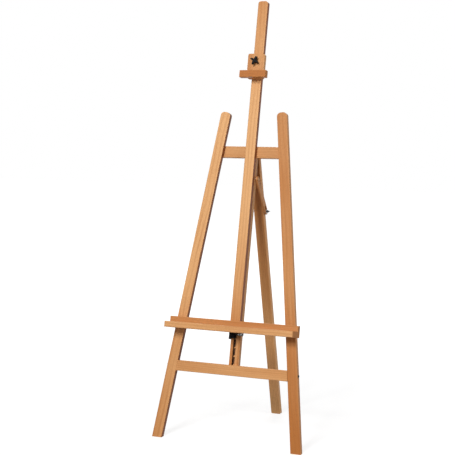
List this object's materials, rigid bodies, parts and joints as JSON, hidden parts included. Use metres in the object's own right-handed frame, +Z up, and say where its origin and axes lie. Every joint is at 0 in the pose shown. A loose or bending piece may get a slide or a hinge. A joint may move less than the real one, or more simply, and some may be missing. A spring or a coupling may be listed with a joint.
{
  "type": "artist easel",
  "caption": "Folding wooden A-frame artist easel with a sliding mast, a canvas tray, an upper clamp and a hinged rear leg.",
  "frame": {"origin": "on the floor, at the centre of the three-footed base's box", "axes": "+Z up, +X to the right as seen from the front, +Y from the front feet to the rear foot"},
  "size_m": [0.6042, 0.5273, 1.6468],
  "materials": {
    "beech": "satin varnished beech with fine lengthwise grain",
    "zinc_steel": "zinc plated steel, slightly dull",
    "black_steel": "blackened steel, satin",
    "black_plastic": "moulded black plastic, satin",
    "brass": "plain turned brass",
    "leather": "vegetable tanned leather disc"
  },
  "bodies": {
    "front_frame": {"left_leg": "beech", "right_leg": "beech", "upper_crossbar": "beech", "lower_crossbar": "beech", "centre_rail": "beech", "ratchet_rack": "beech", "rack_screws": "zinc_steel", "crossbar_screws": "zinc_steel", "leg_bolts": "black_steel", "rail_screws": "zinc_steel", "mast_guide": "black_plastic", "guide_screws": "zinc_steel", "hinge_frame_leaf": "zinc_steel", "hinge_frame_screws": "zinc_steel", "hinge_pin": "zinc_steel", "stay_pivot_screw": "brass", "stay_spacer": "zinc_steel"},
    "mast_carriage": {"mast": "beech", "tray_board": "beech", "tray_shelf": "beech", "tray_screws": "zinc_steel", "shelf_screws": "zinc_steel", "ratchet_carriage": "black_steel", "carriage_screws": "zinc_steel", "pawl_pin": "zinc_steel", "pawl_spring": "zinc_steel"},
    "pawl": {"pawl": "black_steel", "thumb_pad": "black_plastic"},
    "clamp": {"clamp_block": "beech", "clamp_ledge": "beech", "ledge_screws": "zinc_steel", "clamp_strap": "zinc_steel", "strap_screws": "zinc_steel", "knob_insert": "brass"},
    "clamp_knob": {"clamp_knob": "black_plastic", "knob_stud": "zinc_steel", "pressure_pad": "leather"},
    "rear_leg": {"rear_leg": "beech", "hinge_leg_leaf": "zinc_steel", "hinge_leg_screws": "zinc_steel", "stay_bolt": "black_steel", "leg_spacer": "zinc_steel", "stay_washer": "zinc_steel"},
    "stay": {"stay": "beech"},
    "wing_nut": {"wing_nut": "black_steel"}
  },
  "joints": [
    {"name": "mast_slide", "type": "slide", "parent": "front_frame", "child": "mast_carriage", "axis": [0, 0.2147, 0.9767], "range_m": [-0.064, 0.544]},
    {"name": "pawl_swing", "type": "hinge", "parent": "mast_carriage", "child": "pawl", "pos_m": [0, -0.1624, 0.39999], "axis": [1, 0, 0], "range_deg": [0, 18]},
    {"name": "clamp_slide", "type": "slide", "parent": "mast_carriage", "child": "clamp", "axis": [0, 0.2147, 0.9767], "range_m": [-0.18, 0.18]},
    {"name": "knob_turn", "type": "hinge", "parent": "clamp", "child": "clamp_knob", "pos_m": [0, 0.02674, 1.41669], "axis": [0, 0.9767, -0.2147], "continuous": true},
    {"name": "rear_leg_fold", "type": "hinge", "parent": "front_frame", "child": "rear_leg", "pos_m": [0, 0.01198, 1.05339], "axis": [1, 0, 0], "range_deg": [-24.8, 0]},
    {"name": "stay_swing", "type": "hinge", "parent": "front_frame", "child": "stay", "pos_m": [0, -0.015, 0.97259], "axis": [1, 0, 0], "range_deg": [-38.5, 0.5]},
    {"name": "wing_nut_turn", "type": "hinge", "parent": "rear_leg", "child": "wing_nut", "pos_m": [0, 0.06817, 0.84253], "axis": [1, 0, 0], "continuous": true}
  ],
  "couplings": [
    {"joint": "stay_swing", "follows": "rear_leg_fold", "ratio": 1.4687}
  ]
}
